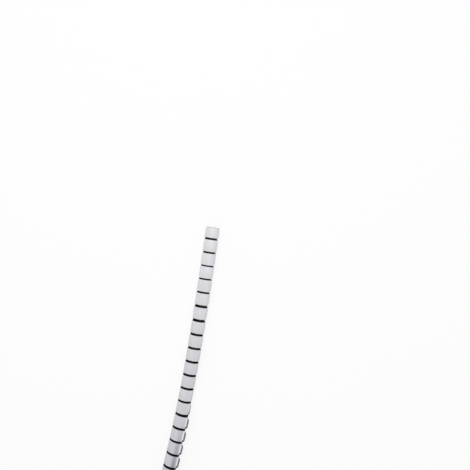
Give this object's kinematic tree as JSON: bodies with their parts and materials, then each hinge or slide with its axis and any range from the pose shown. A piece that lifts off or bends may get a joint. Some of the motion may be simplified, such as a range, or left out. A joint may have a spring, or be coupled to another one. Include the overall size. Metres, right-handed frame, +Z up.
{
  "type": "cable sleeve",
  "caption": "Slit plastic cable sleeve: a row of C-shaped rings on one spine, lapped along their opening, that wraps round a bundle of cables.",
  "frame": {"origin": "middle of the sleeve's bounding box, on the flat surface that the sleeve lies on", "axes": "+X along the sleeve from the mouth to the far end, +Z up, +Y to the side that the lengthwise opening faces"},
  "size_m": [0.3557, 0.0246, 0.0194],
  "materials": {
    "milky_plastic": "milky white plastic, satin"
  },
  "bodies": {
    "root": {"sleeve": "milky_plastic"}
  },
  "joints": []
}
